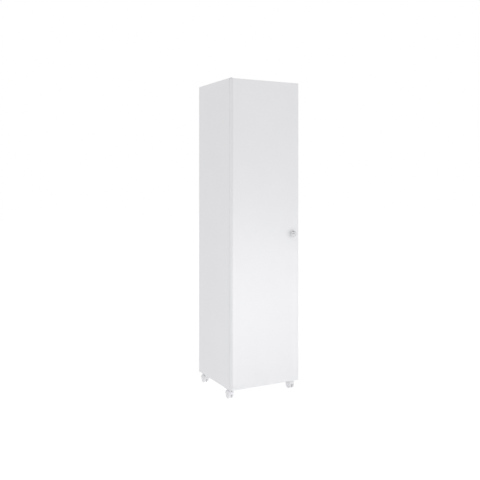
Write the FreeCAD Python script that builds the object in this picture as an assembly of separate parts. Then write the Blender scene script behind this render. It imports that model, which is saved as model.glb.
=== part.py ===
import FreeCAD, Part
import math
import os

# A tall single-door broom cupboard on four twin-wheel castors, in millimetres.
# +Z is up and the door faces -Y. The origin is on the floor, under the middle of the outer box.

Vec = FreeCAD.Vector

# Body of coated board, without castors, door and knob
body_width = 400.0
body_height = 1570.0
carcass_depth = 372.0
panel_thickness = 15.0
arris_radius = 0.8

# Back panel, slid into a groove
back_thickness = 3.0
back_inset = 8.0
groove_depth = 6.0
groove_clearance = 0.1
back_edge_clearance = 0.5

# Fixed shelf, divider and small shelves
upper_compartment_height = 240.0
broom_bay_width = 150.0
shelf_setback = 12.0
small_shelf_setback = 28.0
small_shelf_end_clearance = 1.5
shelf_rear_clearance = 0.4
small_shelf_names = ["lower", "middle", "upper"]

# Shelf pins
pin_radius = 2.5
pin_bite = 9.0
pin_collar_radius = 3.8
pin_collar_thickness = 1.2
pin_stub_length = 7.0
pin_edge_distance = 40.0
pin_hole_pitch = 32.0
spare_pin_holes = 2

# Door, with a well rounded hinge edge and a small round on its heel
door_thickness = 15.0
door_gap = 1.3
door_side_reveal = 0.3
door_top_reveal = 2.5
door_edge_radius = 7.5
door_heel_radius = 1.2
bumper_radius = 4.0
bumper_end_distance = 40.0
bumper_clearance = 0.1

# Pivot hinges at the top and bottom of the door, let into the side's front edge
pivot_side_distance = 5.5
pivot_face_distance = 4.8
pivot_leaf_thickness = 1.2
pivot_leaf_width = 8.0
pivot_leaf_length = 42.0
pivot_recess_clearance = 0.1
pivot_screw_first = 14.0
pivot_screw_second = 32.0
pivot_pin_radius = 2.0
pivot_pin_reach = 15.0
pivot_pin_tip = 0.6
pivot_rivet_flare = 0.8
bush_radius = 3.2
bush_length = 18.0
bush_flange_radius = 4.0
bush_flange_thickness = 0.8
pivot_running_clearance = 0.06
door_thrust_gap = 0.1

# Knob
knob_radius = 16.5
knob_projection = 23.0
knob_height = 775.0
knob_inset = 40.0
knob_outline_shares = [
    (0.0, 0.0),
    (0.55, 0.0),
    (0.55, 0.05),
    ((0.40, 0.20), (0.42, 0.40)),
    ((0.60, 0.56), (0.90, 0.60)),
    ((1.0, 0.68), (0.93, 0.78)),
]
knob_screw_radius = 2.0
knob_screw_head_radius = 4.0
knob_screw_head_height = 2.2
knob_screw_grip = 10.0

# Magnetic catch on the right side, and its strike on the door
catch_rise = 60.0
catch_flange_thickness = 2.5
catch_flange_length = 60.0
catch_width = 13.0
catch_length = 34.0
catch_depth = 18.0
catch_corner_radius = 1.0
catch_wall = 2.0
catch_setback = 0.5
catch_screw_spacing = 47.0
pole_thickness = 1.2
pole_length = 28.0
catch_clearance = 0.1
strike_gap = 0.2
strike_thickness = 1.2
strike_width = 12.0
strike_length = 34.0
strike_corner_radius = 3.0

# Chipboard screws
screw_head_radius = 3.0
screw_radius = 1.6
screw_length = 12.0
screw_tip = 2.0

# Cam locks, cam bolts and dowels
cam_radius = 7.4
cam_height = 12.0
cam_clearance = 0.1
cam_distance = 34.0
cam_edge_distance = 70.0
cam_slot_width = 1.4
cam_slot_length = 9.0
cam_slot_depth = 1.5
bolt_radius = 3.2
bolt_stub_radius = 2.6
bolt_stub_length = 11.0
bolt_past_centre = 2.0
dowel_radius = 4.0
dowel_length = 30.0
dowel_bite = 10.0
dowel_chamfer = 0.8
dowel_end_gap = 0.5
fit_slack = 0.05

# Twin-wheel swivel castors
castor_height = 51.5
castor_side_inset = 20.0
castor_end_inset = 49.5
castor_trail = 12.0
plate_size = 36.0
plate_thickness = 2.0
plate_corner_radius = 4.0
plate_screw_spacing = 26.0
stem_radius = 3.0
stem_tenon_radius = 2.2
stem_depth = 24.0
swivel_clearance = 0.08
swivel_gap = 0.4
wheel_radius = 20.0
wheel_width = 9.0
wheel_gap = 0.5
wheel_shoulder = 1.4
wheel_rim = 3.4
wheel_lip = 0.4
wheel_dish = 1.4
wheel_draft = 0.8
wheel_hub_radius = 7.0
wheel_pocket = 3.2
wheel_cap = 1.7
axle_radius = 2.5
axle_clearance = 0.06
axle_end_gap = 0.4
axle_chamfer = 0.5
web_thickness = 9.0
web_boss_radius = 9.0
fender_clearance = 1.2
fender_thickness = 1.8
fender_low_angle = 8.0
fender_high_angle = 172.0
collar_radius = 7.0
collar_flare = 2.0
collar_chamfer = 0.8

# How far a cutting shape runs past the face that it opens
overrun = 1.0

# Planes worked out from the sizes
half_width = body_width / 2
inner_half = half_width - panel_thickness
overall_depth = carcass_depth + door_gap + door_thickness + knob_projection
rear_y = overall_depth / 2
front_y = rear_y - carcass_depth
door_back_y = front_y - door_gap
door_front_y = door_back_y - door_thickness
back_rear_y = rear_y - back_inset
back_front_y = back_rear_y - back_thickness
shelf_rear_y = back_front_y - shelf_rear_clearance
base_z = castor_height
top_z = base_z + body_height
bay_floor_z = base_z + panel_thickness
ceiling_z = top_z - panel_thickness
fixed_shelf_z = ceiling_z - upper_compartment_height - panel_thickness
broom_bay_height = fixed_shelf_z - bay_floor_z
divider_left_x = -inner_half + broom_bay_width
divider_right_x = divider_left_x + panel_thickness
divider_middle_x = (divider_left_x + divider_right_x) / 2
door_left_x = -half_width + door_side_reveal
door_right_x = half_width - door_side_reveal
door_bottom_z = base_z + pivot_leaf_thickness + door_thrust_gap + bush_flange_thickness
door_top_z = top_z - door_top_reveal
pivot_x = door_left_x + pivot_side_distance
pivot_y = door_front_y + pivot_face_distance
knob_x = door_right_x - knob_inset
knob_z = base_z + knob_height
catch_z = knob_z + catch_rise

X_AXIS = Vec(1, 0, 0)
Y_AXIS = Vec(0, 1, 0)
Z_AXIS = Vec(0, 0, 1)


def block(low, high):
    """Block between two opposite corners."""
    size = high - low
    return Part.makeBox(size.x, size.y, size.z, low)


def board(low, high):
    """Panel with a small round on every edge."""
    slab = block(low, high)
    return slab.makeFillet(arris_radius, slab.Edges)


def plate(low, high, corner_radius, normal):
    """Flat plate whose corners are rounded about its normal."""
    slab = block(low, high)
    corners = [edge for edge in slab.Edges if abs(edge.tangentAt(0).dot(normal)) > normal.Length / 2]
    return slab.makeFillet(corner_radius, corners)


def rod(radius, start, end):
    """Cylinder between two points."""
    run = end - start
    return Part.makeCylinder(radius, run.Length, start, run)


def outline(points):
    """Closed wire in the XZ plane. A pair of points is an arc, through the first to the second."""
    start = Vec(points[0][0], 0, points[0][1])
    here = start
    edges = []
    for step in points[1:]:
        if isinstance(step[0], tuple):
            through, there = [Vec(point[0], 0, point[1]) for point in step]
            edges.append(Part.Arc(here, through, there).toShape())
        else:
            there = Vec(step[0], 0, step[1])
            edges.append(Part.makeLine(here, there))
        here = there
    if here != start:
        edges.append(Part.makeLine(here, start))
    return Part.Wire(edges)


def turned(points, origin, direction):
    """Solid turned about Z from (radius, height) points, then stood on origin along direction."""
    solid = Part.Face(outline(points)).revolve(Vec(0, 0, 0), Z_AXIS, 360)
    solid.Placement = FreeCAD.Placement(origin, FreeCAD.Rotation(Z_AXIS, direction))
    return solid


def pressed(points, width):
    """Solid of even width across X, from (Y, Z) points."""
    solid = Part.Face(outline(points)).extrude(Y_AXIS * width)
    solid.translate(Y_AXIS * (-width / 2))
    solid.rotate(Vec(0, 0, 0), Z_AXIS, 90)
    return solid


def dome(rim, apex_height):
    """Outline step for a ball-shaped cap, from its rim to its apex on the axis."""
    radius, height = rim
    rise = apex_height - height
    ball_radius = (radius ** 2 + rise ** 2) / (2 * rise)
    middle_height = apex_height - ball_radius + math.sqrt(ball_radius ** 2 - radius ** 2 / 4)
    return ((radius / 2, middle_height), (0, apex_height))


def moved(shape, offset):
    """Copy of a shape at another place."""
    copy = shape.copy()
    copy.translate(offset)
    return copy


def drilled(shape, tools):
    """Shape with every tool that reaches it cut away."""
    near = [tool for tool in tools if tool.BoundBox.intersect(shape.BoundBox)]
    return shape.cut(near) if near else shape


def screw(origin, direction, slack):
    """Countersunk chipboard screw driven along direction, or with slack the hole that it drops into."""
    shank = screw_radius + slack
    points = [
        (0, 0),
        (screw_head_radius + slack, 0),
        (shank, screw_head_radius - screw_radius),
        (shank, screw_length - screw_tip + slack),
        (0, screw_length + slack),
    ]
    return turned(points, origin, direction)


parts = {}
holes = []


# Dowels and cam fixings: face is on the drilled side of the joint and inward points into the panel's end

def dowel(face, inward):
    points = [
        (0, 0),
        (dowel_radius - dowel_chamfer, 0),
        (dowel_radius, dowel_chamfer),
        (dowel_radius, dowel_length - dowel_chamfer),
        (dowel_radius - dowel_chamfer, dowel_length),
        (0, dowel_length),
    ]
    start = face - inward * dowel_bite
    end = start + inward * dowel_length
    holes.append(rod(dowel_radius + fit_slack, start - inward * dowel_end_gap, end + inward * dowel_end_gap))
    return turned(points, start, inward)


def cam_fixing(face, inward):
    past_centre = cam_distance + bolt_past_centre
    points = [
        (0, 0),
        (bolt_stub_radius, 0),
        (bolt_stub_radius, bolt_stub_length),
        (bolt_radius, bolt_stub_length),
        (bolt_radius, bolt_stub_length + past_centre),
        (0, bolt_stub_length + past_centre),
    ]
    bolt = turned(points, face - inward * bolt_stub_length, inward)
    stub_hole = rod(bolt_stub_radius + fit_slack, face - inward * (bolt_stub_length + fit_slack), face)
    bolt_hole = rod(bolt_radius + fit_slack, face, face + inward * (past_centre + fit_slack))
    underside = face + inward * cam_distance - Z_AXIS * (panel_thickness / 2)
    cam_top = underside + Z_AXIS * cam_height
    pocket_top = cam_top + Z_AXIS * cam_clearance
    pocket = rod(cam_radius + cam_clearance, underside - Z_AXIS * overrun, pocket_top)
    slot_reach = Vec(cam_slot_length / 2, cam_slot_width / 2, cam_slot_depth)
    slot = block(underside - slot_reach, underside + slot_reach)
    cam = rod(cam_radius, underside, cam_top).cut([bolt_hole, slot])
    holes.extend([stub_hole, bolt_hole, pocket])
    return bolt, cam


dowels = []
bolts = []
cams = []
fixing_ys = [front_y + cam_edge_distance, rear_y - cam_edge_distance]
dowel_y = (front_y + rear_y) / 2
for level in (base_z, fixed_shelf_z, ceiling_z):
    for side in (-1, 1):
        for fixing_y in fixing_ys:
            middle = Vec(side * inner_half, fixing_y, level + panel_thickness / 2)
            bolt, cam = cam_fixing(middle, X_AXIS * -side)
            bolts.append(bolt)
            cams.append(cam)
        dowels.append(dowel(Vec(side * inner_half, dowel_y, level + panel_thickness / 2), X_AXIS * -side))
for fixing_y in fixing_ys:
    dowels.append(dowel(Vec(divider_middle_x, fixing_y, bay_floor_z), Z_AXIS))
    dowels.append(dowel(Vec(divider_middle_x, fixing_y, fixed_shelf_z), -Z_AXIS))
parts["wood_dowels"] = Part.makeCompound(dowels)
parts["cam_bolts"] = Part.makeCompound(bolts)
parts["cam_locks"] = Part.makeCompound(cams)


# Small shelves on stepped pins, evenly spaced between the floor of the bay and the fixed shelf.
# Spare holes above and below each pin let a shelf be moved.

def shelf_pin(face, into_bay):
    collar_end = pin_bite + pin_collar_thickness
    points = [
        (0, 0),
        (pin_radius, 0),
        (pin_radius, pin_bite),
        (pin_collar_radius, pin_bite),
        (pin_collar_radius, collar_end),
        (pin_radius, collar_end),
        (pin_radius, collar_end + pin_stub_length),
        (0, collar_end + pin_stub_length),
    ]
    for step in range(-spare_pin_holes, spare_pin_holes + 1):
        mouth = face + Z_AXIS * (step * pin_hole_pitch)
        holes.append(rod(pin_radius + fit_slack, mouth - into_bay * (pin_bite + fit_slack), mouth))
    return turned(points, face - into_bay * pin_bite, into_bay)


shelf_pins = []
small_shelf_count = len(small_shelf_names)
small_shelf_front_y = front_y + small_shelf_setback
clear_height = (broom_bay_height - small_shelf_count * panel_thickness) / (small_shelf_count + 1)
for index, name in enumerate(small_shelf_names):
    underside_z = bay_floor_z + (index + 1) * clear_height + index * panel_thickness
    low = Vec(divider_right_x + small_shelf_end_clearance, small_shelf_front_y, underside_z)
    high = Vec(inner_half - small_shelf_end_clearance, shelf_rear_y, underside_z + panel_thickness)
    parts[name + "_small_shelf"] = board(low, high)
    for pin_y in (small_shelf_front_y + pin_edge_distance, shelf_rear_y - pin_edge_distance):
        shelf_pins.append(shelf_pin(Vec(divider_right_x, pin_y, underside_z - pin_radius), X_AXIS))
        shelf_pins.append(shelf_pin(Vec(inner_half, pin_y, underside_z - pin_radius), -X_AXIS))
parts["shelf_pins"] = Part.makeCompound(shelf_pins)


# Castors: every piece is drawn about the point on the floor under the swivel axis.
# The axle trails outwards: in front of the swivel on the front castors, and behind it on the rear ones.

axle_z = wheel_radius
wheel_inner_x = web_thickness / 2 + wheel_gap
fender_inner_radius = wheel_radius + fender_clearance
fender_outer_radius = fender_inner_radius + fender_thickness
plate_bottom_z = castor_height - plate_thickness


def about_axle(radius, degrees, axle_y):
    """(Y, Z) point at an angle about the axle, from the rear upwards."""
    angle = math.radians(degrees)
    return (radius * math.cos(angle) + axle_y, radius * math.sin(angle) + axle_z)


def castor_plate():
    half = plate_size / 2
    low = Vec(-half, -half, plate_bottom_z)
    flat = plate(low, Vec(half, half, castor_height), plate_corner_radius, Z_AXIS)
    tenon_hole = rod(
        stem_tenon_radius + fit_slack,
        Z_AXIS * (plate_bottom_z - overrun),
        Z_AXIS * (castor_height + overrun),
    )
    return flat.cut(tenon_hole)


def castor_stem():
    shoulder = stem_depth
    points = [
        (0, 0),
        (stem_radius - axle_chamfer, 0),
        (stem_radius, axle_chamfer),
        (stem_radius, shoulder),
        (stem_tenon_radius, shoulder),
        (stem_tenon_radius, shoulder + plate_thickness),
        (0, shoulder + plate_thickness),
    ]
    return turned(points, Z_AXIS * (plate_bottom_z - stem_depth), Z_AXIS)


def castor_hood(axle_y):
    middle_angle = (fender_low_angle + fender_high_angle) / 2
    fender_start = about_axle(fender_inner_radius, fender_low_angle, axle_y)
    fender = pressed(
        [
            fender_start,
            about_axle(fender_outer_radius, fender_low_angle, axle_y),
            (
                about_axle(fender_outer_radius, middle_angle, axle_y),
                about_axle(fender_outer_radius, fender_high_angle, axle_y),
            ),
            about_axle(fender_inner_radius, fender_high_angle, axle_y),
            (about_axle(fender_inner_radius, middle_angle, axle_y), fender_start),
        ],
        (wheel_inner_x + wheel_width) * 2,
    )
    web_radius = (fender_inner_radius + fender_outer_radius) / 2
    web_crown = (
        about_axle(web_radius, middle_angle, axle_y),
        about_axle(web_radius, fender_high_angle, axle_y),
    )
    web = pressed([about_axle(web_radius, fender_low_angle, axle_y), web_crown], web_thickness)
    axle_middle = Vec(0, axle_y, axle_z)
    web_half = X_AXIS * (web_thickness / 2)
    axle_boss = rod(web_boss_radius, axle_middle - web_half, axle_middle + web_half)
    reach = X_AXIS * (wheel_inner_x + wheel_width + overrun)
    wheel_space = rod(fender_inner_radius, axle_middle - reach, axle_middle + reach)
    collar_top = plate_bottom_z - swivel_gap
    collar_points = [
        (0, axle_z),
        (collar_radius + collar_flare, axle_z),
        (collar_radius, collar_top - collar_chamfer),
        (collar_radius - collar_chamfer, collar_top),
        (0, collar_top),
    ]
    collar = turned(collar_points, Vec(0, 0, 0), Z_AXIS).cut(wheel_space)
    hood = fender.fuse([web, axle_boss, collar]).removeSplitter()
    stem_hole = rod(
        stem_radius + swivel_clearance,
        Z_AXIS * (plate_bottom_z - stem_depth - swivel_gap),
        Z_AXIS * castor_height,
    )
    axle_hole = rod(axle_radius + fit_slack, axle_middle - reach, axle_middle + reach)
    return hood.cut([stem_hole, axle_hole])


def castor_axle(axle_y):
    half_length = wheel_inner_x + wheel_width - wheel_cap - axle_end_gap
    points = [
        (0, 0),
        (axle_radius - axle_chamfer, 0),
        (axle_radius, axle_chamfer),
        (axle_radius, 2 * half_length - axle_chamfer),
        (axle_radius - axle_chamfer, 2 * half_length),
        (0, 2 * half_length),
    ]
    return turned(points, Vec(-half_length, axle_y, axle_z), X_AXIS)


def castor_wheel(side, axle_y):
    bore = axle_radius + axle_clearance
    bore_end = wheel_width - wheel_cap
    shoulder_radius = wheel_radius - wheel_shoulder
    shoulder_middle = wheel_shoulder * (1 - math.sqrt(0.5))
    rim_radius = wheel_radius - wheel_rim
    lip_face = wheel_width - wheel_lip
    dish_face = lip_face - wheel_dish
    points = [
        (0, bore_end),
        (bore, bore_end),
        (bore, 0),
        (wheel_hub_radius - wheel_draft, 0),
        (wheel_hub_radius, wheel_pocket),
        (rim_radius - wheel_draft, wheel_pocket),
        (rim_radius, wheel_lip),
        (shoulder_radius, wheel_lip),
        (
            (wheel_radius - shoulder_middle, wheel_lip + shoulder_middle),
            (wheel_radius, wheel_lip + wheel_shoulder),
        ),
        (wheel_radius, lip_face - wheel_shoulder),
        (
            (wheel_radius - shoulder_middle, lip_face - shoulder_middle),
            (shoulder_radius, lip_face),
        ),
        (rim_radius, lip_face),
        (rim_radius - wheel_draft, dish_face),
        (wheel_hub_radius, dish_face),
        dome((wheel_hub_radius, dish_face), wheel_width),
    ]
    return turned(points, Vec(side * wheel_inner_x, axle_y, axle_z), X_AXIS * side)


castor_ends = {
    "front": (front_y + castor_end_inset, -castor_trail),
    "rear": (rear_y - castor_end_inset, castor_trail),
}
castor_sides = {"left": castor_side_inset - half_width, "right": half_width - castor_side_inset}
castor_screws = []
for end, (castor_y, axle_y) in castor_ends.items():
    castor_pieces = {
        "plate": castor_plate(),
        "stem": castor_stem(),
        "hood": castor_hood(axle_y),
        "axle": castor_axle(axle_y),
        "wheel_left": castor_wheel(-1, axle_y),
        "wheel_right": castor_wheel(1, axle_y),
    }
    for side, castor_x in castor_sides.items():
        place = Vec(castor_x, castor_y, 0)
        screw_holes = []
        for across in (-plate_screw_spacing / 2, plate_screw_spacing / 2):
            for along in (-plate_screw_spacing / 2, plate_screw_spacing / 2):
                head = place + Vec(across, along, plate_bottom_z)
                castor_screws.append(screw(head, Z_AXIS, 0))
                screw_holes.append(screw(head, Z_AXIS, fit_slack))
        for piece, shape in castor_pieces.items():
            parts[end + "_" + side + "_castor_" + piece] = drilled(moved(shape, place), screw_holes)
        holes.extend(screw_holes)
parts["castor_screws"] = Part.makeCompound(castor_screws)


# Pivot hinges: drawn for the lower end, about the carcass front below the pivot.
# The upper ones are the same pieces turned over.

def pivot_bracket():
    bend = pivot_leaf_thickness
    nose = front_y - pivot_y
    bend_middle = bend * math.sqrt(0.5)
    points = [
        (pivot_leaf_thickness, pivot_leaf_length),
        (pivot_leaf_thickness, bend),
        ((bend_middle, bend - bend_middle), (0, 0)),
        (-nose, 0),
        (-nose, pivot_leaf_thickness),
        (0, pivot_leaf_thickness),
        (0, pivot_leaf_length),
    ]
    tip = rod(pivot_leaf_width / 2, Vec(0, -nose, 0), Vec(0, -nose, pivot_leaf_thickness))
    return pressed(points, pivot_leaf_width).fuse(tip).removeSplitter()


def pivot_recess():
    half = pivot_leaf_width / 2 + pivot_recess_clearance
    low = Vec(-half, -door_gap / 2, -overrun)
    return block(low, Vec(half, pivot_leaf_thickness, pivot_leaf_length + pivot_recess_clearance))


def pivot_pin(slack):
    radius = pivot_pin_radius + slack
    length = pivot_leaf_thickness + pivot_pin_reach
    points = [
        (0, 0),
        (radius + pivot_rivet_flare, 0),
        (radius, pivot_rivet_flare),
        (radius, length - pivot_pin_tip),
        (radius - pivot_pin_tip, length),
        (0, length),
    ]
    return turned(points, Vec(0, pivot_y - front_y, 0), Z_AXIS)


def pivot_bush():
    bore = pivot_pin_radius + pivot_running_clearance
    points = [
        (bore, -bush_flange_thickness),
        (bush_flange_radius, -bush_flange_thickness),
        (bush_flange_radius, 0),
        (bush_radius, 0),
        (bush_radius, bush_length),
        (bore, bush_length),
    ]
    return turned(points, Vec(0, 0, 0), Z_AXIS)


lower_place = FreeCAD.Placement(Vec(pivot_x, front_y, base_z), FreeCAD.Rotation())
upper_place = FreeCAD.Placement(Vec(pivot_x, front_y, top_z), FreeCAD.Rotation(Y_AXIS, 180))
pivot_screws = []
for end, place in (("lower", lower_place), ("upper", upper_place)):
    leaf_holes = []
    for rise in (pivot_screw_first, pivot_screw_second):
        head = place.multVec(Vec(0, 0, rise))
        pivot_screws.append(screw(head, Y_AXIS, 0))
        leaf_holes.append(screw(head, Y_AXIS, fit_slack))
    bracket = pivot_bracket().cut(pivot_pin(fit_slack))
    bracket.Placement = place
    pin = pivot_pin(0)
    pin.Placement = place.multiply(pin.Placement)
    parts[end + "_pivot_bracket"] = bracket.cut(leaf_holes)
    parts[end + "_pivot_pin"] = pin
    recess = pivot_recess()
    recess.Placement = place.multiply(recess.Placement)
    holes.extend(leaf_holes + [recess])
parts["pivot_screws"] = Part.makeCompound(pivot_screws)

bush_ends = (("lower", Z_AXIS, door_bottom_z), ("upper", -Z_AXIS, door_top_z))
for end, into_door, end_z in bush_ends:
    bush = pivot_bush()
    seat = Vec(pivot_x, pivot_y, end_z)
    bush.Placement = FreeCAD.Placement(seat, FreeCAD.Rotation(Z_AXIS, into_door))
    parts[end + "_pivot_bush"] = bush
    holes.append(rod(bush_radius + fit_slack, seat, seat + into_door * (bush_length + fit_slack)))


# Magnetic catch: a moulded housing on the right side holds a magnet between two steel poles

catch_middle_x = inner_half - catch_width / 2
catch_front_y = front_y + catch_setback
pole_front_y = door_back_y + strike_thickness + strike_gap
magnet_width = catch_width - 2 * catch_wall - 2 * pole_thickness - 2 * catch_clearance
stack_half = magnet_width / 2 + pole_thickness
cavity_half = stack_half + catch_clearance
pole_rear_y = catch_front_y + catch_depth - catch_wall - catch_clearance


def catch_block(half_x, low_y, high_y, length):
    """Block about the middle of the catch."""
    low = Vec(catch_middle_x - half_x, low_y, catch_z - length / 2)
    high = Vec(catch_middle_x + half_x, high_y, catch_z + length / 2)
    return block(low, high)


flange = plate(
    Vec(inner_half - catch_flange_thickness, catch_front_y, catch_z - catch_flange_length / 2),
    Vec(inner_half, catch_front_y + catch_depth, catch_z + catch_flange_length / 2),
    catch_depth / 4,
    X_AXIS,
)
case = catch_block(catch_width / 2, catch_front_y, catch_front_y + catch_depth, catch_length)
case_edges = [edge for edge in case.Edges if edge.BoundBox.XMax < catch_middle_x]
case = case.makeFillet(catch_corner_radius, case_edges)
cavity_rear_y = pole_rear_y + catch_clearance
cavity = catch_block(cavity_half, catch_front_y - overrun, cavity_rear_y, pole_length + 2 * catch_clearance)
catch_screws = []
for rise in (-catch_screw_spacing / 2, catch_screw_spacing / 2):
    head = Vec(inner_half - catch_flange_thickness, catch_front_y + catch_depth / 2, catch_z + rise)
    catch_screws.append(screw(head, X_AXIS, 0))
    holes.append(screw(head, X_AXIS, fit_slack))
parts["catch_housing"] = drilled(flange.fuse(case).removeSplitter().cut(cavity), holes)
parts["catch_magnet"] = catch_block(magnet_width / 2, catch_front_y, pole_rear_y, pole_length)
poles = []
for side in (-1, 1):
    offset = X_AXIS * (side * (magnet_width + pole_thickness) / 2)
    poles.append(moved(catch_block(pole_thickness / 2, pole_front_y, pole_rear_y, pole_length), offset))
parts["catch_poles"] = Part.makeCompound(poles)
parts["catch_screws"] = Part.makeCompound(catch_screws)

strike_reach = Vec(strike_width / 2, 0, strike_length / 2)
strike_middle = Vec(catch_middle_x, door_back_y, catch_z)
strike_head = strike_middle + Y_AXIS * strike_thickness
strike = plate(
    strike_middle - strike_reach,
    strike_head + strike_reach,
    strike_corner_radius,
    Y_AXIS,
)
strike_hole = screw(strike_head, -Y_AXIS, fit_slack)
parts["catch_strike"] = strike.cut(strike_hole)
parts["strike_screw"] = screw(strike_head, -Y_AXIS, 0)
holes.append(strike_hole)


# Knob, turned from bar, and the screw that holds it through the door

knob_points = []
for step in knob_outline_shares:
    if isinstance(step[0], tuple):
        knob_points.append(tuple((radius * knob_radius, rise * knob_projection) for radius, rise in step))
    else:
        knob_points.append((step[0] * knob_radius, step[1] * knob_projection))
knob_points.append(dome(knob_points[-1][-1], knob_projection))
knob_seat = Vec(knob_x, door_front_y, knob_z)
knob_screw_seat = Vec(knob_x, door_back_y, knob_z)
knob_screw_length = door_thickness + knob_screw_grip
knob_screw_end = knob_screw_seat - Y_AXIS * (knob_screw_length + fit_slack)
knob_hole = rod(knob_screw_radius + fit_slack, knob_screw_seat, knob_screw_end)
knob_screw_points = [
    (0, -knob_screw_head_height),
    (knob_screw_head_radius / 2, -knob_screw_head_height),
    (
        (knob_screw_head_radius * math.sqrt(0.75), -knob_screw_head_height * 2 / 3),
        (knob_screw_head_radius, 0),
    ),
    (knob_screw_radius, 0),
    (knob_screw_radius, knob_screw_length),
    (0, knob_screw_length),
]
parts["door_knob"] = turned(knob_points, knob_seat, -Y_AXIS).cut(knob_hole)
parts["knob_screw"] = turned(knob_screw_points, knob_screw_seat, -Y_AXIS)
holes.append(knob_hole)


# Door leaf: a slab with one rounded edge, and two clear bumpers on its back

leaf = block(Vec(door_left_x, door_front_y, door_bottom_z), Vec(door_right_x, door_back_y, door_top_z))
for edge_y, edge_radius in ((door_front_y, door_edge_radius), (door_back_y, door_heel_radius)):
    corner = Vec(door_left_x, edge_y, (door_bottom_z + door_top_z) / 2)
    corner_edge = min(leaf.Edges, key=lambda edge: edge.CenterOfMass.distanceToPoint(corner))
    leaf = leaf.makeFillet(edge_radius, [corner_edge])
rim_edges = [
    edge
    for edge in leaf.Edges
    if edge.BoundBox.ZLength < arris_radius or edge.BoundBox.XMin > pivot_x + door_thickness
]
parts["door_panel"] = drilled(leaf.makeFillet(arris_radius, rim_edges), holes)
bumper_x = (inner_half + door_right_x) / 2
bumpers = []
for bumper_z in (door_bottom_z + bumper_end_distance, door_top_z - bumper_end_distance):
    seat = Vec(bumper_x, door_back_y, bumper_z)
    bumpers.append(rod(bumper_radius, seat, seat + Y_AXIS * (door_gap - bumper_clearance)))
parts["door_bumpers"] = Part.makeCompound(bumpers)


# Carcass boards, with the groove for the back and all the drillings

groove_front_y = back_front_y - groove_clearance
groove_rear_y = back_rear_y + groove_clearance
groove = block(
    Vec(-inner_half - groove_depth, groove_front_y, bay_floor_z - groove_depth),
    Vec(inner_half + groove_depth, groove_rear_y, ceiling_z + groove_depth),
)
back_reach = groove_depth - back_edge_clearance
parts["back_panel"] = block(
    Vec(-inner_half - back_reach, back_front_y, bay_floor_z - back_reach),
    Vec(inner_half + back_reach, back_rear_y, ceiling_z + back_reach),
)
carcass_boards = {
    "left_side_panel": (Vec(-half_width, front_y, base_z), Vec(-inner_half, rear_y, top_z)),
    "right_side_panel": (Vec(inner_half, front_y, base_z), Vec(half_width, rear_y, top_z)),
    "bottom_panel": (Vec(-inner_half, front_y, base_z), Vec(inner_half, rear_y, bay_floor_z)),
    "top_panel": (Vec(-inner_half, front_y, ceiling_z), Vec(inner_half, rear_y, top_z)),
    "fixed_shelf": (
        Vec(-inner_half, front_y + shelf_setback, fixed_shelf_z),
        Vec(inner_half, shelf_rear_y, fixed_shelf_z + panel_thickness),
    ),
    "divider_panel": (
        Vec(divider_left_x, front_y + shelf_setback, bay_floor_z),
        Vec(divider_right_x, shelf_rear_y, fixed_shelf_z),
    ),
}
for name, (low, high) in carcass_boards.items():
    parts[name] = drilled(board(low, high), holes + [groove])

os.makedirs("parts", exist_ok=True)
for name, shape in parts.items():
    shape.exportStep("parts/" + name + ".step")
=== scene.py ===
import math

import bpy
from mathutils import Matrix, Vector


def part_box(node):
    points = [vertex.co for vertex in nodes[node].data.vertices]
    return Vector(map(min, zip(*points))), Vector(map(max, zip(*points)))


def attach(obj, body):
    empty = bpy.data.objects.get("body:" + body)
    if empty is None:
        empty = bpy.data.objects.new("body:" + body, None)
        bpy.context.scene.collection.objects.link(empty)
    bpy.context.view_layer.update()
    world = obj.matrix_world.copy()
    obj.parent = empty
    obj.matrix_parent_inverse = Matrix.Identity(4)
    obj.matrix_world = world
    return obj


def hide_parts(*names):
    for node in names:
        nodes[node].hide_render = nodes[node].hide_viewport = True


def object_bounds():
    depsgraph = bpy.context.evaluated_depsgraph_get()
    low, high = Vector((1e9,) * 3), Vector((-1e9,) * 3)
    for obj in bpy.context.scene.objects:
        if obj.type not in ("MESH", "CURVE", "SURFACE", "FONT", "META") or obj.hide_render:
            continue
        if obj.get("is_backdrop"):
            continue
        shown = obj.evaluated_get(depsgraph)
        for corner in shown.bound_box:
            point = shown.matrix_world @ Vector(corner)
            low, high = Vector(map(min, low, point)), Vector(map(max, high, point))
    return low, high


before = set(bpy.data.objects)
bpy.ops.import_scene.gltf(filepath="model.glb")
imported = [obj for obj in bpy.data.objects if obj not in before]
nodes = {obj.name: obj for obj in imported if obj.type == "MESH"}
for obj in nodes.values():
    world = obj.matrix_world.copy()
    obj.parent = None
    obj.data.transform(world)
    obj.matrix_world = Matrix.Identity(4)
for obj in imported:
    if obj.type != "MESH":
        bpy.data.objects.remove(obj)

cad_low, cad_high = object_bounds()


# Carcass boards and door leaf.
# Particle board, faced with white melamine paper under heat and pressure, its cut edges banded in white.
# The boards come cut, grooved and bored, so they keep their solids' shape and get their finish here.

def linear(hex_colour):
    """sRGB hex to the linear colour that a shader socket takes."""
    channels = [int(hex_colour[start:start + 2], 16) / 255 for start in (0, 2, 4)]
    return [c / 12.92 if c <= 0.04045 else ((c + 0.055) / 1.055) ** 2.4 for c in channels] + [1.0]


def per_mm(size_mm):
    """Texture scale that gives features of this size on Object coordinates, which are metres."""
    return 1000 / size_mm


def new_material(name):
    """A named material with no nodes yet."""
    material = bpy.data.materials.new(name)
    material.use_nodes = True
    material.node_tree.nodes.clear()
    return material


def add_node(owner, kind, links, **settings):
    """One shader node: settings are its properties, links fill its sockets with values or other outputs."""
    node = owner.node_tree.nodes.new(kind)
    for name, value in settings.items():
        setattr(node, name, value)
    for socket, source in links.items():
        if isinstance(source, bpy.types.NodeSocket):
            owner.node_tree.links.new(source, node.inputs[socket])
        else:
            node.inputs[socket].default_value = source
    return node


def dress(material, *names):
    """CAD nodes take a material in place of the one that they were packed with."""
    for name in names:
        nodes[name].data.materials.clear()
        nodes[name].data.materials.append(material)


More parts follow.
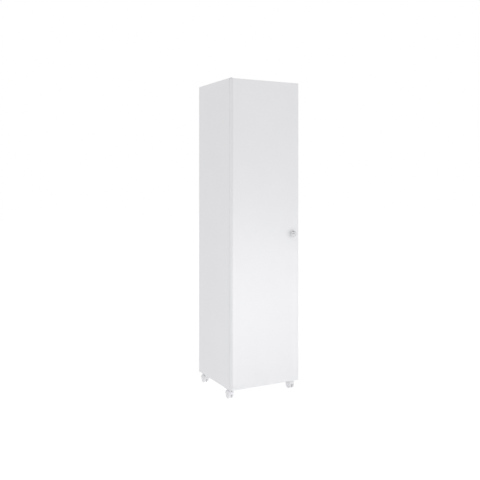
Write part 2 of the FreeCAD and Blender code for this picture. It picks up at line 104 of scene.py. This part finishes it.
def pressed_melamine(name, painted_shade_line=None, painted_shade_reach=0.0):
    """White melamine on board. Within reach of an upright line, where one is given, it is painted greyer, as
    painted shade along an edge.
    """
    board = new_material(name)
    place = add_node(board, "ShaderNodeTexCoord", {})
    cloud = add_node(
        board, "ShaderNodeTexNoise", {"Vector": place.outputs["Object"], "Scale": per_mm(220), "Detail": 3.0}
    )
    pebble = add_node(
        board, "ShaderNodeTexNoise", {"Vector": place.outputs["Object"], "Scale": per_mm(1.6), "Detail": 2.0}
    )
    white = add_node(
        board,
        "ShaderNodeMix",
        {0: cloud.outputs["Fac"], 6: linear("EFEFF1"), 7: linear("F3F3F5")},
        data_type="RGBA",
    )
    colour = white.outputs[2]
    if painted_shade_line:
        # Painted shade: within reach of the line, the colour is multiplied a shade greyer.
        plan = add_node(
            board, "ShaderNodeVectorMath", {0: place.outputs["Object"], 1: (1, 1, 0)}, operation="MULTIPLY"
        )
        away = add_node(
            board, "ShaderNodeVectorMath", {0: plan.outputs["Vector"], 1: painted_shade_line}, operation="DISTANCE"
        )
        in_painted_shade = add_node(
            board, "ShaderNodeMath", {0: away.outputs["Value"], 1: painted_shade_reach}, operation="LESS_THAN"
        )
        painted_shade = add_node(
            board,
            "ShaderNodeMix",
            {0: in_painted_shade.outputs["Value"], 6: colour, 7: linear("F5F5F5")},
            data_type="RGBA",
            blend_type="MULTIPLY",
        )
        colour = painted_shade.outputs[2]
    gloss = add_node(
        board, "ShaderNodeMapRange", {"Value": cloud.outputs["Fac"], "To Min": 0.38, "To Max": 0.46}
    )
    relief = add_node(
        board, "ShaderNodeBump", {"Height": pebble.outputs["Fac"], "Strength": 0.25, "Distance": 0.00002}
    )
    surface = add_node(
        board,
        "ShaderNodeBsdfPrincipled",
        {
            "Base Color": colour,
            "Roughness": gloss.outputs["Result"],
            "IOR": 1.5,
            "Normal": relief.outputs["Normal"],
        },
    )
    add_node(board, "ShaderNodeOutputMaterial", {"Surface": surface.outputs["BSDF"]})
    return board


# Melamine gives an even satin white, whose gloss drifts a little in wide soft clouds.
# The press plate's pebble is about 0.4 mm across, and is drawn four times coarser so that it shows.
melamine = pressed_melamine("white_melamine_pressed_on_board")
boards = [
    "left_side_panel",
    "right_side_panel",
    "bottom_panel",
    "top_panel",
    "fixed_shelf",
    "divider_panel",
    "lower_small_shelf",
    "middle_small_shelf",
    "upper_small_shelf",
]
dress(melamine, *boards)

# Painted shade along the door's rounded hinge edge: a strip a shade greyer than the melamine stands for the
# shade on the edge where it turns away from the light.
painted_shade_width = 0.010
painted_shade_inset = 0.002
leaf_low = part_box("door_panel")[0]
painted_shade_line = (leaf_low[0] + painted_shade_inset + painted_shade_width / 2, leaf_low[1], 0)
melamine_with_painted_shade = pressed_melamine("white_melamine_with_painted_edge_shade", painted_shade_line, painted_shade_width / 2)
dress(melamine_with_painted_shade, "door_panel")


# Back panel.
# Thin hardboard, pressed from wood fibre, lacquered white inside and left raw on the wall side.
# It is slid into the groove of the four boards round it.

# Lacquered hardboard is a dull white inside, and raw it is a mottled brown felt of fibres.
# The fibres are under 1 mm wide, and are drawn as 5 mm tufts so that they show.
hardboard = new_material("pressed_hardboard_white_one_side")
place = add_node(hardboard, "ShaderNodeTexCoord", {})
facing = add_node(hardboard, "ShaderNodeSeparateXYZ", {"Vector": place.outputs["Normal"]})
raw_side = add_node(hardboard, "ShaderNodeMath", {0: facing.outputs["Y"], 1: 0.5}, operation="GREATER_THAN")
fibre = add_node(
    hardboard, "ShaderNodeTexNoise", {"Vector": place.outputs["Object"], "Scale": per_mm(5), "Detail": 6.0}
)
brown = add_node(
    hardboard,
    "ShaderNodeMix",
    {0: fibre.outputs["Fac"], 6: linear("8A6A4B"), 7: linear("A88663")},
    data_type="RGBA",
)
sides = add_node(
    hardboard,
    "ShaderNodeMix",
    {0: raw_side.outputs["Value"], 6: linear("ECECED"), 7: brown.outputs[2]},
    data_type="RGBA",
)
gloss = add_node(
    hardboard, "ShaderNodeMapRange", {"Value": fibre.outputs["Fac"], "To Min": 0.5, "To Max": 0.7}
)
relief = add_node(
    hardboard, "ShaderNodeBump", {"Height": fibre.outputs["Fac"], "Strength": 0.3, "Distance": 0.00005}
)
surface = add_node(
    hardboard,
    "ShaderNodeBsdfPrincipled",
    {
        "Base Color": sides.outputs[2],
        "Roughness": gloss.outputs["Result"],
        "IOR": 1.5,
        "Normal": relief.outputs["Normal"],
    },
)
add_node(hardboard, "ShaderNodeOutputMaterial", {"Surface": surface.outputs["BSDF"]})
dress(hardboard, "back_panel")


# Cam locks, cam bolts and dowels.
# Die-cast zinc cams pull zinc-plated steel bolts into the boards' ends and draw the corners tight.
# Turned beech dowels, glued at one end, set the boards in line.

# Bright zinc plate is a pale metal, with cloudy patches of gloss left by the plating bath.
plated = new_material("bright_zinc_plate")
place = add_node(plated, "ShaderNodeTexCoord", {})
bloom = add_node(
    plated, "ShaderNodeTexNoise", {"Vector": place.outputs["Object"], "Scale": per_mm(3), "Detail": 4.0}
)
tone = add_node(
    plated,
    "ShaderNodeMix",
    {0: bloom.outputs["Fac"], 6: linear("BFC3C8"), 7: linear("D4D6D9")},
    data_type="RGBA",
)
gloss = add_node(plated, "ShaderNodeMapRange", {"Value": bloom.outputs["Fac"], "To Min": 0.24, "To Max": 0.4})
surface = add_node(
    plated,
    "ShaderNodeBsdfPrincipled",
    {"Base Color": tone.outputs[2], "Roughness": gloss.outputs["Result"], "Metallic": 1.0},
)
add_node(plated, "ShaderNodeOutputMaterial", {"Surface": surface.outputs["BSDF"]})

# Die-cast zinc is a dull grey metal with the grainy skin of its mould, drawn at 1 mm to show.
diecast = new_material("die_cast_zinc")
place = add_node(diecast, "ShaderNodeTexCoord", {})
skin = add_node(diecast, "ShaderNodeTexNoise", {"Vector": place.outputs["Object"], "Scale": per_mm(1)})
tone = add_node(
    diecast,
    "ShaderNodeMix",
    {0: skin.outputs["Fac"], 6: linear("9EA1A4"), 7: linear("B4B7BA")},
    data_type="RGBA",
)
gloss = add_node(
    diecast, "ShaderNodeMapRange", {"Value": skin.outputs["Fac"], "To Min": 0.44, "To Max": 0.56}
)
relief = add_node(
    diecast, "ShaderNodeBump", {"Height": skin.outputs["Fac"], "Strength": 0.4, "Distance": 0.00005}
)
surface = add_node(
    diecast,
    "ShaderNodeBsdfPrincipled",
    {
        "Base Color": tone.outputs[2],
        "Roughness": gloss.outputs["Result"],
        "Metallic": 1.0,
        "Normal": relief.outputs["Normal"],
    },
)
add_node(diecast, "ShaderNodeOutputMaterial", {"Surface": surface.outputs["BSDF"]})

# Beech is a matt pinkish tan, with close rings of growth a few millimetres apart.
beech = new_material("turned_beech")
place = add_node(beech, "ShaderNodeTexCoord", {})
grain = add_node(
    beech,
    "ShaderNodeTexWave",
    {"Vector": place.outputs["Object"], "Scale": per_mm(6), "Distortion": 4.0},
    bands_direction="Y",
)
tone = add_node(
    beech,
    "ShaderNodeMix",
    {0: grain.outputs["Fac"], 6: linear("BB9468"), 7: linear("D6B58D")},
    data_type="RGBA",
)
gloss = add_node(beech, "ShaderNodeMapRange", {"Value": grain.outputs["Fac"], "To Min": 0.55, "To Max": 0.65})
surface = add_node(
    beech,
    "ShaderNodeBsdfPrincipled",
    {"Base Color": tone.outputs[2], "Roughness": gloss.outputs["Result"], "IOR": 1.5},
)
add_node(beech, "ShaderNodeOutputMaterial", {"Surface": surface.outputs["BSDF"]})
dress(diecast, "cam_locks")
dress(plated, "cam_bolts")
dress(beech, "wood_dowels")


# Shelf pins.
# Turned steel pegs, zinc plated.
# They are pushed into drilled holes, and the small shelves lie on them.

dress(plated, "shelf_pins")


# Pivot hinges.
# Pressed steel angles with riveted pins, bright zinc plated, screwed to the left side's front edge.
# The pins turn in moulded nylon bushes in the door's ends, the lower one black and carrying the door.

dress(plated, "upper_pivot_bracket", "lower_pivot_bracket", "upper_pivot_pin", "lower_pivot_pin")


def moulded_finish(name, dark_hex, pale_hex, gloss_range, grain_mm, relief_mm, index):
    """What comes from a mould: its tone, gloss and fine relief all follow one grain, the mould's texture."""
    moulded = new_material(name)
    place = add_node(moulded, "ShaderNodeTexCoord", {})
    grain = add_node(
        moulded, "ShaderNodeTexNoise", {"Vector": place.outputs["Object"], "Scale": per_mm(grain_mm)}
    )
    tone = add_node(
        moulded,
        "ShaderNodeMix",
        {0: grain.outputs["Fac"], 6: linear(dark_hex), 7: linear(pale_hex)},
        data_type="RGBA",
    )
    gloss = add_node(
        moulded,
        "ShaderNodeMapRange",
        {"Value": grain.outputs["Fac"], "To Min": gloss_range[0], "To Max": gloss_range[1]},
    )
    relief = add_node(
        moulded,
        "ShaderNodeBump",
        {"Height": grain.outputs["Fac"], "Strength": 0.3, "Distance": relief_mm / 1000},
    )
    surface = add_node(
        moulded,
        "ShaderNodeBsdfPrincipled",
        {
            "Base Color": tone.outputs[2],
            "Roughness": gloss.outputs["Result"],
            "IOR": index,
            "Normal": relief.outputs["Normal"],
        },
    )
    add_node(moulded, "ShaderNodeOutputMaterial", {"Surface": surface.outputs["BSDF"]})
    return moulded


# Nylon, moulded smooth, is a milky white or a soft black with faint flow marks.
nylon = moulded_finish(
    "moulded_white_nylon",
    dark_hex="E5E5E3",
    pale_hex="EDEDEB",
    gloss_range=(0.42, 0.48),
    grain_mm=4,
    relief_mm=0.01,
    index=1.53,
)
black_nylon = moulded_finish(
    "moulded_black_nylon",
    dark_hex="141414",
    pale_hex="222222",
    gloss_range=(0.45, 0.55),
    grain_mm=4,
    relief_mm=0.01,
    index=1.53,
)
dress(nylon, "upper_pivot_bush")
dress(black_nylon, "lower_pivot_bush")


def arc_to(start, middle, end, steps):
    """Points of the arc from start through middle to end, without start itself."""
    (ax, ay), (bx, by), (cx, cy) = start, middle, end
    twice = 2 * (ax * (by - cy) + bx * (cy - ay) + cx * (ay - by))
    a2, b2, c2 = ax * ax + ay * ay, bx * bx + by * by, cx * cx + cy * cy
    mx = (a2 * (by - cy) + b2 * (cy - ay) + c2 * (ay - by)) / twice
    my = (a2 * (cx - bx) + b2 * (ax - cx) + c2 * (bx - ax)) / twice
    first, via, last = (math.atan2(y - my, x - mx) for x, y in (start, middle, end))
    turn = (last - first) % math.tau
    if (via - first) % math.tau > turn:
        turn -= math.tau
    radius = math.hypot(ax - mx, ay - my)
    angles = [first + turn * step / steps for step in range(1, steps + 1)]
    return [(mx + radius * math.cos(angle), my + radius * math.sin(angle)) for angle in angles]


def spin_piece(name, outline, seat, along, steps):
    """A turned piece: its (radius, rise) outline is drawn point by point and spun about its axis."""
    bpy.ops.object.select_all(action="DESELECT")
    bpy.ops.mesh.primitive_plane_add(size=0.01)
    piece = bpy.context.object
    piece.name = name
    bpy.ops.object.mode_set(mode="EDIT")
    bpy.ops.mesh.select_all(action="SELECT")
    bpy.ops.mesh.merge(type="CENTER")
    across = along.orthogonal().normalized()
    corners = [seat + across * radius + along * rise for radius, rise in outline]
    bpy.ops.transform.translate(value=corners[0])
    for start, end in zip(corners, corners[1:]):
        bpy.ops.mesh.extrude_region_move(TRANSFORM_OT_translate={"value": end - start})
    bpy.ops.mesh.select_all(action="SELECT")
    bpy.ops.mesh.spin(steps=steps, angle=math.tau, center=seat, axis=along)
    bpy.ops.mesh.select_all(action="SELECT")
    bpy.ops.mesh.remove_doubles(threshold=0.000002)
    bpy.ops.mesh.normals_make_consistent(inside=False)
    bpy.ops.object.mode_set(mode="OBJECT")
    bpy.ops.object.shade_smooth_by_angle(angle=math.radians(35))
    return piece


def cut_cross(screw, blade_length, blade_width, depth):
    """A cross recess, narrower at its bottom, in the head of a screw that points up from the origin."""
    bottom_share = 0.45
    for turn in (0, 90):
        bpy.ops.object.select_all(action="DESELECT")
        bpy.ops.mesh.primitive_cube_add(size=1.0)
        blade = bpy.context.object
        bpy.ops.object.mode_set(mode="EDIT")
        bpy.ops.mesh.select_all(action="SELECT")
        bpy.ops.transform.resize(value=(blade_length, blade_width, 2 * depth))
        bpy.ops.mesh.select_all(action="DESELECT")
        bpy.ops.object.mode_set(mode="OBJECT")
        for vertex in blade.data.vertices:
            vertex.select = vertex.co.z > 0
        bpy.ops.object.mode_set(mode="EDIT")
        bpy.ops.transform.resize(value=(bottom_share, 1, 1), center_override=(0, 0, depth))
        bpy.ops.object.mode_set(mode="OBJECT")
        blade.rotation_euler.z = math.radians(turn)
        cut = screw.modifiers.new("cross_recess", "BOOLEAN")
        cut.operation = "DIFFERENCE"
        cut.solver = "EXACT"
        cut.object = blade
        bpy.context.view_layer.objects.active = screw
        bpy.ops.object.modifier_apply(modifier=cut.name)
        bpy.data.objects.remove(blade)


def drive(screw, name, seats, along):
    """Copies of a screw, one in each seat, as one piece of plated steel."""
    copies = []
    for seat in seats:
        bpy.ops.object.select_all(action="DESELECT")
        screw.select_set(True)
        bpy.context.view_layer.objects.active = screw
        bpy.ops.object.duplicate()
        copy = bpy.context.object
        copy.location = seat
        copy.rotation_euler = along.to_track_quat("Z", "Y").to_euler()
        bpy.ops.object.transform_apply(location=True, rotation=True, scale=False)
        copies.append(copy)
    bpy.ops.object.select_all(action="DESELECT")
    for copy in copies:
        copy.select_set(True)
    bpy.context.view_layer.objects.active = copies[0]
    if len(copies) > 1:
        bpy.ops.object.join()
    copies[0].name = name
    copies[0].data.materials.clear()
    copies[0].data.materials.append(plated)
    return copies[0]


def corners_of(name):
    """A CAD node's lowest and highest corners."""
    return [Vector(corner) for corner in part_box(name)]


head_radius = 0.003
shank_radius = 0.0016
screw_length = 0.012
head_rim = 0.0002
head_depth = 0.0014
point_length = 0.002
screw_outline = [
    (0, 0),
    (head_radius - head_rim, 0),
    (head_radius, head_rim),
    (shank_radius, head_depth),
    (shank_radius, screw_length - point_length),
    (0, screw_length),
]
screw_steps = 32
origin = Vector((0, 0, 0))
upright = Vector((0, 0, 1))
countersunk = spin_piece("countersunk_screw", screw_outline, origin, upright, screw_steps)
cut_cross(countersunk, blade_length=0.0034, blade_width=0.0008, depth=0.0016)
screw_pitch = 0.018
low, high = corners_of("pivot_screws")
lowest = low.z + head_radius
highest = high.z - head_radius
heights = (lowest, lowest + screw_pitch, highest - screw_pitch, highest)
seats = [Vector(((low.x + high.x) / 2, low.y, height)) for height in heights]
hinge_screws = drive(countersunk, "hinge_leaf_screws", seats, Vector((0, 1, 0)))
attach(hinge_screws, "carcass")
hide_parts("pivot_screws")


# Knob, its screw and the door's bumpers.
# The knob is turned from bar, polished and chromed, and a pan-head screw holds it from inside.
# The bumpers are soft clear discs, stuck to the door's back.

# Polished chrome mirrors the studio in crisp bands, with a slight haze from polishing.
chrome = new_material("polished_chrome_plate")
place = add_node(chrome, "ShaderNodeTexCoord", {})
haze = add_node(
    chrome, "ShaderNodeTexNoise", {"Vector": place.outputs["Object"], "Scale": per_mm(6), "Detail": 3.0}
)
gloss = add_node(chrome, "ShaderNodeMapRange", {"Value": haze.outputs["Fac"], "To Min": 0.09, "To Max": 0.16})
surface = add_node(
    chrome,
    "ShaderNodeBsdfPrincipled",
    {"Base Color": linear("D9DADC"), "Roughness": gloss.outputs["Result"], "Metallic": 1.0},
)
add_node(chrome, "ShaderNodeOutputMaterial", {"Surface": surface.outputs["BSDF"]})

# The outline is in shares of the knob's radius and reach: foot, waist, flared back, rim, bead and crown.
knob_low, knob_high = corners_of("door_knob")
knob_radius = (knob_high.x - knob_low.x) / 2
knob_reach = knob_high.y - knob_low.y
knob_seat = Vector(((knob_low.x + knob_high.x) / 2, knob_high.y, (knob_low.z + knob_high.z) / 2))
knob_shares = [(0.0, 0.0), (0.53, 0.0)]
knob_shares += arc_to((0.53, 0.0), (0.55, 0.01), (0.55, 0.05), 4)
knob_shares += arc_to((0.55, 0.05), (0.40, 0.20), (0.42, 0.40), 14)
knob_shares += arc_to((0.42, 0.40), (0.60, 0.56), (0.90, 0.60), 14)
knob_shares += arc_to((0.90, 0.60), (1.0, 0.68), (0.93, 0.78), 12)
knob_shares += [(0.92, 0.785), (0.915, 0.78), (0.90, 0.79)]
knob_shares += arc_to((0.90, 0.79), (0.47, 0.948), (0.0, 1.0), 24)
knob_outline = [(radius * knob_radius, rise * knob_reach) for radius, rise in knob_shares]
knob_steps = 96
knob = spin_piece("turned_door_knob", knob_outline, knob_seat, Vector((0, -1, 0)), knob_steps)
knob.data.materials.append(chrome)
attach(knob, "door")
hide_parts("door_knob")

low, high = corners_of("knob_screw")
pan_screw_length = high.y - low.y
pan_radius = 0.004
pan_flat = 0.0016
pan_height = 0.0022
pan_shank = 0.002
tip_bevel = 0.0005
shoulder_radius_share = 0.85
shoulder_rise_share = 0.32
pan_shoulder = (shoulder_radius_share * pan_radius, shoulder_rise_share * pan_height)
pan_outline = [(0, 0), (pan_flat, 0)]
pan_outline += arc_to((pan_flat, 0), pan_shoulder, (pan_radius, pan_height), 10)
pan_outline += [
    (pan_shank, pan_height),
    (pan_shank, pan_screw_length - tip_bevel),
    (pan_shank - tip_bevel, pan_screw_length),
    (0, pan_screw_length),
]
pan_screw = spin_piece("pan_head_screw", pan_outline, origin, upright, screw_steps)
cut_cross(pan_screw, blade_length=0.0040, blade_width=0.0009, depth=0.0015)
seats = [Vector(((low.x + high.x) / 2, high.y, (low.z + high.z) / 2))]
knob_screw = drive(pan_screw, "knob_pan_screw", seats, Vector((0, -1, 0)))
bpy.data.objects.remove(pan_screw)
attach(knob_screw, "door")
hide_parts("knob_screw")

# Clear soft polyurethane, cast in a drop, is a cloudy disc that lets half the light through.
bumper = new_material("cast_clear_polyurethane")
place = add_node(bumper, "ShaderNodeTexCoord", {})
milk = add_node(bumper, "ShaderNodeTexNoise", {"Vector": place.outputs["Object"], "Scale": per_mm(3)})
tone = add_node(
    bumper,
    "ShaderNodeMix",
    {0: milk.outputs["Fac"], 6: linear("DFE0DD"), 7: linear("EFF0ED")},
    data_type="RGBA",
)
surface = add_node(
    bumper,
    "ShaderNodeBsdfPrincipled",
    {"Base Color": tone.outputs[2], "Roughness": 0.3, "IOR": 1.5, "Transmission Weight": 0.5},
)
add_node(bumper, "ShaderNodeOutputMaterial", {"Surface": surface.outputs["BSDF"]})
dress(bumper, "door_bumpers")


# Magnetic catch.
# A white moulded case, screwed to the right side, holds a ferrite block between two steel poles.
# A plated strike, screwed to the door's back, meets the poles when the door shuts.

# Styrene, moulded in a stippled tool, is a dull white. The stipple is drawn at 0.8 mm, twice its size.
case = moulded_finish(
    "moulded_white_styrene",
    dark_hex="E0E0E0",
    pale_hex="E8E8E8",
    gloss_range=(0.45, 0.51),
    grain_mm=0.8,
    relief_mm=0.03,
    index=1.59,
)
# Sintered ferrite is a charcoal ceramic, dull and slightly gritty. Its grit is drawn at 0.6 mm to show.
ferrite = moulded_finish(
    "sintered_ferrite",
    dark_hex="242426",
    pale_hex="343436",
    gloss_range=(0.6, 0.7),
    grain_mm=0.6,
    relief_mm=0.02,
    index=1.5,
)
dress(case, "catch_housing")
dress(ferrite, "catch_magnet")
dress(plated, "catch_poles", "catch_strike")

low, high = corners_of("catch_screws")
heights = (low.z + head_radius, high.z - head_radius)
seats = [Vector((low.x, (low.y + high.y) / 2, height)) for height in heights]
catch_screws = drive(countersunk, "catch_case_screws", seats, Vector((1, 0, 0)))
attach(catch_screws, "carcass")
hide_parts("catch_screws")

low, high = corners_of("strike_screw")
seats = [Vector(((low.x + high.x) / 2, high.y, (low.z + high.z) / 2))]
strike_screw = drive(countersunk, "strike_plate_screw", seats, Vector((0, -1, 0)))
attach(strike_screw, "door")
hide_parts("strike_screw")


# Castors.
# Plated steel plates, screwed under the corners, carry stems on which moulded white hoods swivel.
# Each hood holds a steel axle with two moulded white wheels, dished outside and recessed inside.

# Polypropylene, moulded in a spark-eroded tool, is a soft white.
# The tool's texture is drawn at 0.7 mm, twice its size, so that it shows.
hood_white = moulded_finish(
    "moulded_white_polypropylene",
    dark_hex="EEEEF0",
    pale_hex="F5F5F7",
    gloss_range=(0.36, 0.44),
    grain_mm=0.7,
    relief_mm=0.02,
    index=1.49,
)
# Nylon wheels are a smoother white, and rolling leaves them shinier in patches.
wheel_white = moulded_finish(
    "moulded_wheel_nylon",
    dark_hex="ECECEE",
    pale_hex="F4F4F6",
    gloss_range=(0.3, 0.48),
    grain_mm=9,
    relief_mm=0.01,
    index=1.53,
)

# The wheel's sizes in millimetres, as radii from its axis and depths from its inner face.
bore_radius = 2.56
bore_depth = 7.3
sleeve_radius = 6.2
recess_foot_radius = 7.0
recess_rim_radius = 15.8
recess_depth = 3.2
lip_radius = 16.6
tread_radius = 20.0
tread_round = 1.4
tread_inner = 0.4
tread_outer = 8.6
dish_rim_radius = 17.2
dish_floor_radius = 15.5
dish_face = 7.2
groove_radius = 8.4
groove_floor_outer = 8.1
groove_floor_inner = 7.6
groove_floor = 6.9
hub_radius = 7.3
hub_crown = 9.0
hub_curve = (3.9, 8.48)
rim_radius = tread_radius - tread_round
bulge = tread_round * math.sin(math.radians(45))

# Its outline goes from the bore through the inner recess, lip and rounded tread to the dish, groove and hub.
inner_edge = (rim_radius, tread_inner)
inner_bulge = (rim_radius + bulge, tread_inner + tread_round - bulge)
inner_end = (tread_radius, tread_inner + tread_round)
outer_start = (tread_radius, tread_outer - tread_round)
outer_bulge = (rim_radius + bulge, tread_outer - tread_round + bulge)
outer_edge = (rim_radius, tread_outer)
dish_rim = (dish_rim_radius, tread_outer)
dish_rim_curve = (16.75, 8.4)
dish_bend = (16.45, 8.0)
dish_floor_curve = (16.2, 7.4)
dish_floor = (dish_floor_radius, dish_face)
wheel_outline_mm = [
    (0, bore_depth),
    (bore_radius, bore_depth),
    (bore_radius, 0),
    (sleeve_radius, 0),
    (recess_foot_radius, recess_depth),
    (recess_rim_radius, recess_depth),
    (lip_radius, tread_inner),
    inner_edge,
]
wheel_outline_mm += arc_to(inner_edge, inner_bulge, inner_end, 6)
wheel_outline_mm += [outer_start]
wheel_outline_mm += arc_to(outer_start, outer_bulge, outer_edge, 6)
wheel_outline_mm += [dish_rim]
wheel_outline_mm += arc_to(dish_rim, dish_rim_curve, dish_bend, 4)
wheel_outline_mm += arc_to(dish_bend, dish_floor_curve, dish_floor, 4)
wheel_outline_mm += [
    (groove_radius, dish_face),
    (groove_floor_outer, groove_floor),
    (groove_floor_inner, groove_floor),
    (hub_radius, dish_face),
]
wheel_outline_mm += arc_to((hub_radius, dish_face), hub_curve, (0, hub_crown), 12)
wheel_outline = [(radius / 1000, rise / 1000) for radius, rise in wheel_outline_mm]
wheel_steps = 72
plate_screw_reach = 0.013
seats = []
for corner in ("front_left", "front_right", "rear_left", "rear_right"):
    dress(plated, corner + "_castor_plate", corner + "_castor_stem", corner + "_castor_axle")
    dress(hood_white, corner + "_castor_hood")
    low, high = corners_of(corner + "_castor_plate")
    for across in (-plate_screw_reach, plate_screw_reach):
        for along in (-plate_screw_reach, plate_screw_reach):
            seats.append(Vector(((low.x + high.x) / 2 + across, (low.y + high.y) / 2 + along, low.z)))
    for side, outwards in (("left", -1), ("right", 1)):
        low, high = corners_of(corner + "_castor_wheel_" + side)
        inner_x = high.x if outwards < 0 else low.x
        wheel_seat = Vector((inner_x, (low.y + high.y) / 2, (low.z + high.z) / 2))
        wheel_axis = Vector((outwards, 0, 0))
        wheel_name = corner + "_turning_wheel_" + side
        wheel = spin_piece(wheel_name, wheel_outline, wheel_seat, wheel_axis, wheel_steps)
        wheel.data.materials.append(wheel_white)
        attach(wheel, corner + "_wheel_" + side)
        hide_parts(corner + "_castor_wheel_" + side)
plate_screws = drive(countersunk, "castor_plate_screws", seats, upright)
bpy.data.objects.remove(countersunk)
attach(plate_screws, "carcass")
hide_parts("castor_screws")


# Floor and backdrop.
# One plain white sweep of translucent sheet, lit from behind as well as from the front.
# The camera and mirror-like finishes see it white, and it keeps a faint shadow under the castors.

bpy.ops.object.select_all(action="DESELECT")
floor_size = 30.0
bpy.ops.mesh.primitive_plane_add(size=floor_size)
floor = bpy.context.object
floor.name = "studio_floor"
floor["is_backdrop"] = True


def seen_rays(owner):
    """1 for rays that see the white directly, in a mirror or through glass, and 0 for those that light."""
    ray = add_node(owner, "ShaderNodeLightPath", {})
    direct = add_node(
        owner,
        "ShaderNodeMath",
        {0: ray.outputs["Is Camera Ray"], 1: ray.outputs["Is Glossy Ray"]},
        operation="MAXIMUM",
    )
    seen = add_node(
        owner,
        "ShaderNodeMath",
        {0: direct.outputs["Value"], 1: ray.outputs["Is Transmission Ray"]},
        operation="MAXIMUM",
    )
    return seen.outputs["Value"]


# Translucent sheet is a matt grey by front light alone, and the light from behind makes it white.
sheet_back_light = 0.58
sheet_glow = 0.96
sheet_seen_light = 0.85
sweep = new_material("white_translucent_sheet")
seen = seen_rays(sweep)
front_light = add_node(sweep, "ShaderNodeBsdfDiffuse", {"Color": linear("828284")})
# As if lit more from behind there, it glows under the cupboard's left half, and so lights the castors.
half_width = cad_high[0]
glow_fade_inside = 0.03
glow_fade_outside = 0.01
place = add_node(sweep, "ShaderNodeTexCoord", {})
left_half = add_node(
    sweep,
    "ShaderNodeMapping",
    {"Vector": place.outputs["Object"], "Location": (half_width, 0, 0), "Scale": (2, 1, 1)},
)
mirrored = add_node(sweep, "ShaderNodeVectorMath", {0: left_half.outputs["Vector"]}, operation="ABSOLUTE")
reach = add_node(sweep, "ShaderNodeSeparateXYZ", {"Vector": mirrored.outputs["Vector"]})
furthest = add_node(
    sweep, "ShaderNodeMath", {0: reach.outputs["X"], 1: reach.outputs["Y"]}, operation="MAXIMUM"
)
glow = add_node(
    sweep,
    "ShaderNodeMapRange",
    {
        "Value": furthest.outputs["Value"],
        "From Min": half_width - glow_fade_inside,
        "From Max": half_width + glow_fade_outside,
        "To Min": sheet_glow,
        "To Max": sheet_back_light,
    },
)
back_level = add_node(
    sweep,
    "ShaderNodeMapRange",
    {"Value": seen, "To Min": glow.outputs["Result"], "To Max": sheet_seen_light},
)
back_light = add_node(
    sweep, "ShaderNodeEmission", {"Color": linear("FFFFFF"), "Strength": back_level.outputs["Result"]}
)
both = add_node(
    sweep, "ShaderNodeAddShader", {0: front_light.outputs["BSDF"], 1: back_light.outputs["Emission"]}
)
add_node(sweep, "ShaderNodeOutputMaterial", {"Surface": both.outputs["Shader"]})
floor.data.materials.append(sweep)

ambient_level = 0.763
world = bpy.data.worlds.new("white_studio")
bpy.context.scene.world = world
world.use_nodes = True
world.node_tree.nodes.clear()
seen = seen_rays(world)
level = add_node(world, "ShaderNodeMapRange", {"Value": seen, "To Min": ambient_level, "To Max": 1.0})
sky = add_node(
    world, "ShaderNodeBackground", {"Color": linear("FFFFFF"), "Strength": level.outputs["Result"]}
)
add_node(world, "ShaderNodeOutputWorld", {"Surface": sky.outputs["Background"]})


# Studio light.
# A broad far fill lights the front, and a low soft box and a gridded one lift the door's lower half.
# A strip near the floor on the left lights the side's foot and the castors there.

def add_lamp(name, width, height, power, place, turn, spread=180):
    """A soft rectangular lamp, turned about Z from facing +Y, that the camera doesn't see."""
    lamp_data = bpy.data.lights.new(name, "AREA")
    lamp_data.shape = "RECTANGLE"
    lamp_data.size = width
    lamp_data.size_y = height
    lamp_data.energy = power
    lamp_data.spread = math.radians(spread)
    lamp = bpy.data.objects.new(name, lamp_data)
    bpy.context.scene.collection.objects.link(lamp)
    lamp.location = place
    lamp.rotation_euler = (math.radians(90), 0, math.radians(turn))
    lamp.visible_camera = False
    lamp.visible_glossy = False


add_lamp("front_fill", width=2.2, height=2.2, power=8.1, place=(0.3, -3.6, 1.3), turn=5)
add_lamp("gridded_soft_box", width=0.9, height=0.5, power=0.83, place=(1.55, -1.35, 0.33), turn=66, spread=44)
add_lamp("front_soft_box", width=1.0, height=0.3, power=0.73, place=(0.0, -0.95, 0.58), turn=0)
add_lamp("side_floor_strip", width=2.0, height=0.3, power=1.35, place=(-1.5, -0.6, 0.16), turn=-75)

# Felt is a dull dark grey, which the knob's chrome mirrors as dark bands.
# Its fuzz is drawn in 20 mm tufts, because it is only seen as a small reflection.
felt = new_material("dark_pressed_felt")
place = add_node(felt, "ShaderNodeTexCoord", {})
fuzz = add_node(felt, "ShaderNodeTexNoise", {"Vector": place.outputs["Object"], "Scale": per_mm(20)})
tone = add_node(
    felt,
    "ShaderNodeMix",
    {0: fuzz.outputs["Fac"], 6: linear("464648"), 7: linear("4E4E50")},
    data_type="RGBA",
)
surface = add_node(felt, "ShaderNodeBsdfPrincipled", {"Base Color": tone.outputs[2], "Roughness": 0.9})
add_node(felt, "ShaderNodeOutputMaterial", {"Surface": surface.outputs["BSDF"]})


def add_flag(name, width, height, place):
    """A dark upright card that only mirror-like finishes show, to draw bands on the bright metal."""
    bpy.ops.object.select_all(action="DESELECT")
    bpy.ops.mesh.primitive_plane_add(size=1.0, location=place, rotation=(math.radians(90), 0, 0))
    flag = bpy.context.object
    flag.name = name
    flag.scale = (width, height, 1.0)
    flag.data.materials.append(felt)
    flag.visible_camera = False
    flag.visible_diffuse = False
    flag.visible_transmission = False
    flag.visible_shadow = False
    flag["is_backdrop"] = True


add_flag("low_flag", width=8.0, height=0.6, place=(0.8, -5.0, 1.08))
add_flag("high_flag", width=8.0, height=1.1, place=(0.0, -2.0, 3.3))


# Camera.
# Level, left of the front and at chest height, with the view shifted down as in the photograph.

camera_data = bpy.data.cameras.new("photo_camera")
camera = bpy.data.objects.new("photo_camera", camera_data)
bpy.context.scene.collection.objects.link(camera)
camera_data.sensor_width = 36.0
camera_data.lens = 48.226
camera_data.shift_y = -0.1250
camera.location = (-1.6613, -3.0425, 1.1088)
camera.rotation_euler = (math.radians(90), 0, math.radians(-27.865))
bpy.context.scene.camera = camera
bpy.context.scene.view_settings.view_transform = "Standard"

low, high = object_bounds()
